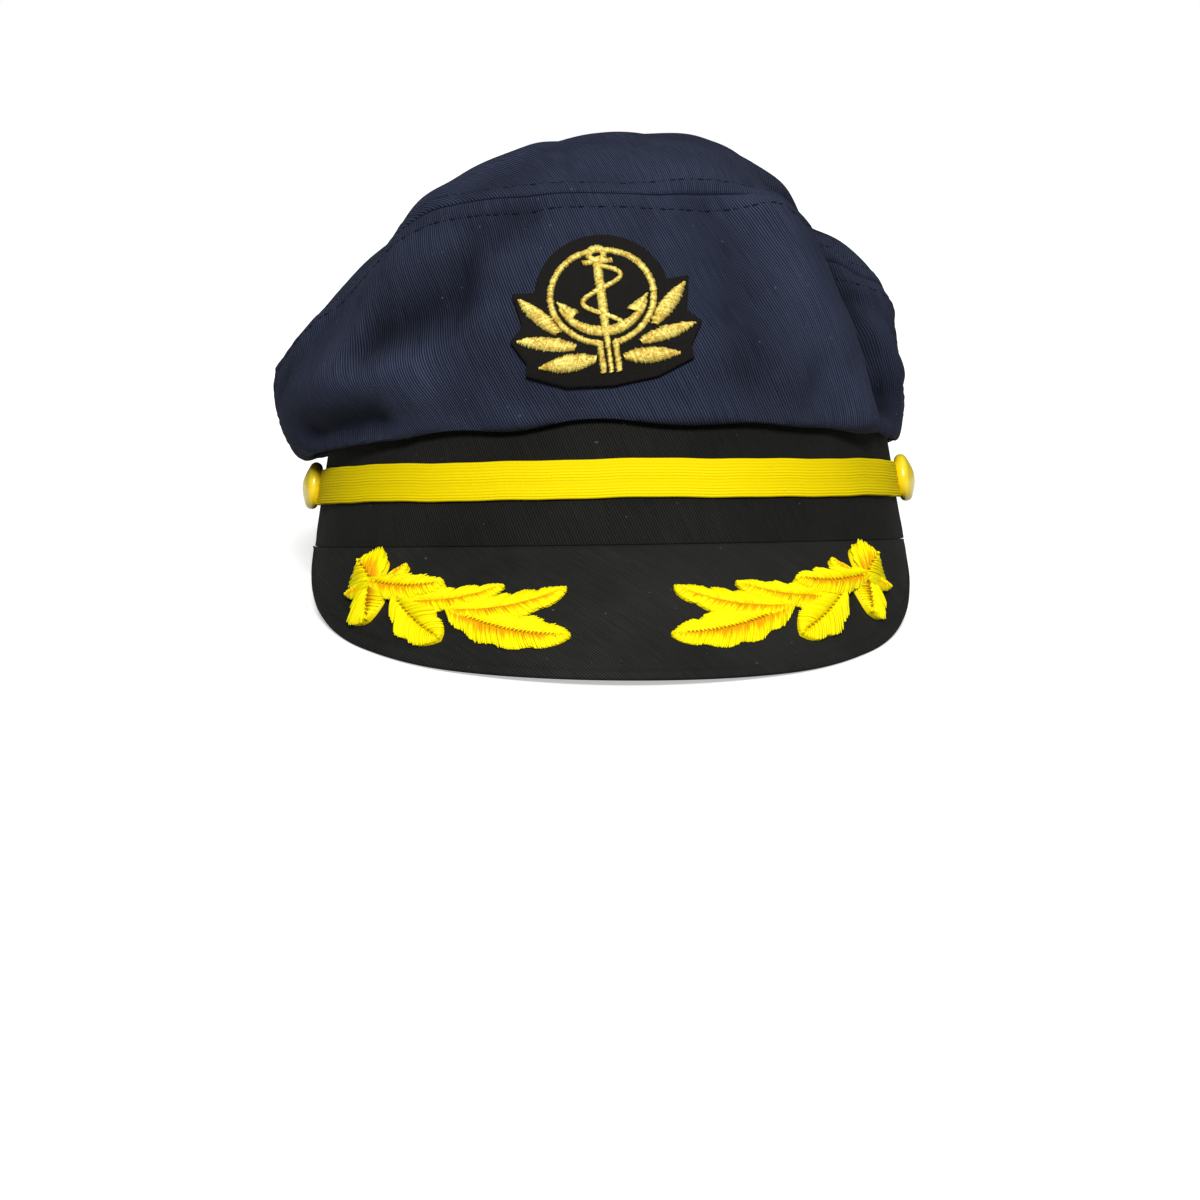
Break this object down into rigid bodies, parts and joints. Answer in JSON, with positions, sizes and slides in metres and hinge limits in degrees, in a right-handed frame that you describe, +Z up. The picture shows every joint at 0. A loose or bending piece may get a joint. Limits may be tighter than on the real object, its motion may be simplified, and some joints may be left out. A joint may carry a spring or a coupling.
{
  "type": "captain hat",
  "caption": "Soft twill captain's cap with a black band and peak, yellow strap on two buttons, an anchor badge and leaf sprays.",
  "frame": {"origin": "on the level surface that the cap rests on, under the middle of its outline", "axes": "+Z up from the surface, -Y towards the front of the peak, +X to the right of someone who looks at the front"},
  "size_m": [0.1872, 0.2644, 0.1341],
  "materials": {
    "navy_twill": "cotton twill, soft, matt with a slight sheen",
    "black_twill": "cotton twill, stiff, matt",
    "black_felt": "dense felt, matt",
    "yellow_elastic": "ribbed elastic, slight sheen",
    "yellow_thread": "rayon embroidery thread, satin sheen",
    "gold_thread": "metallic embroidery thread, glittering",
    "yellow_gloss": "smooth moulded plastic"
  },
  "bodies": {
    "root": {"band": "black_twill", "peak": "black_twill", "crown_front": "navy_twill", "crown_back": "navy_twill", "crown_top": "navy_twill", "strap": "yellow_elastic", "badge_patch": "black_felt", "badge_anchor": "gold_thread", "button_left": "yellow_gloss", "badge_leaf_left_low": "gold_thread", "badge_leaf_left_middle": "gold_thread", "badge_leaf_left_high": "gold_thread", "peak_spray_left": "yellow_thread", "button_right": "yellow_gloss", "badge_leaf_right_low": "gold_thread", "badge_leaf_right_middle": "gold_thread", "badge_leaf_right_high": "gold_thread", "peak_spray_right": "yellow_thread"}
  },
  "joints": []
}
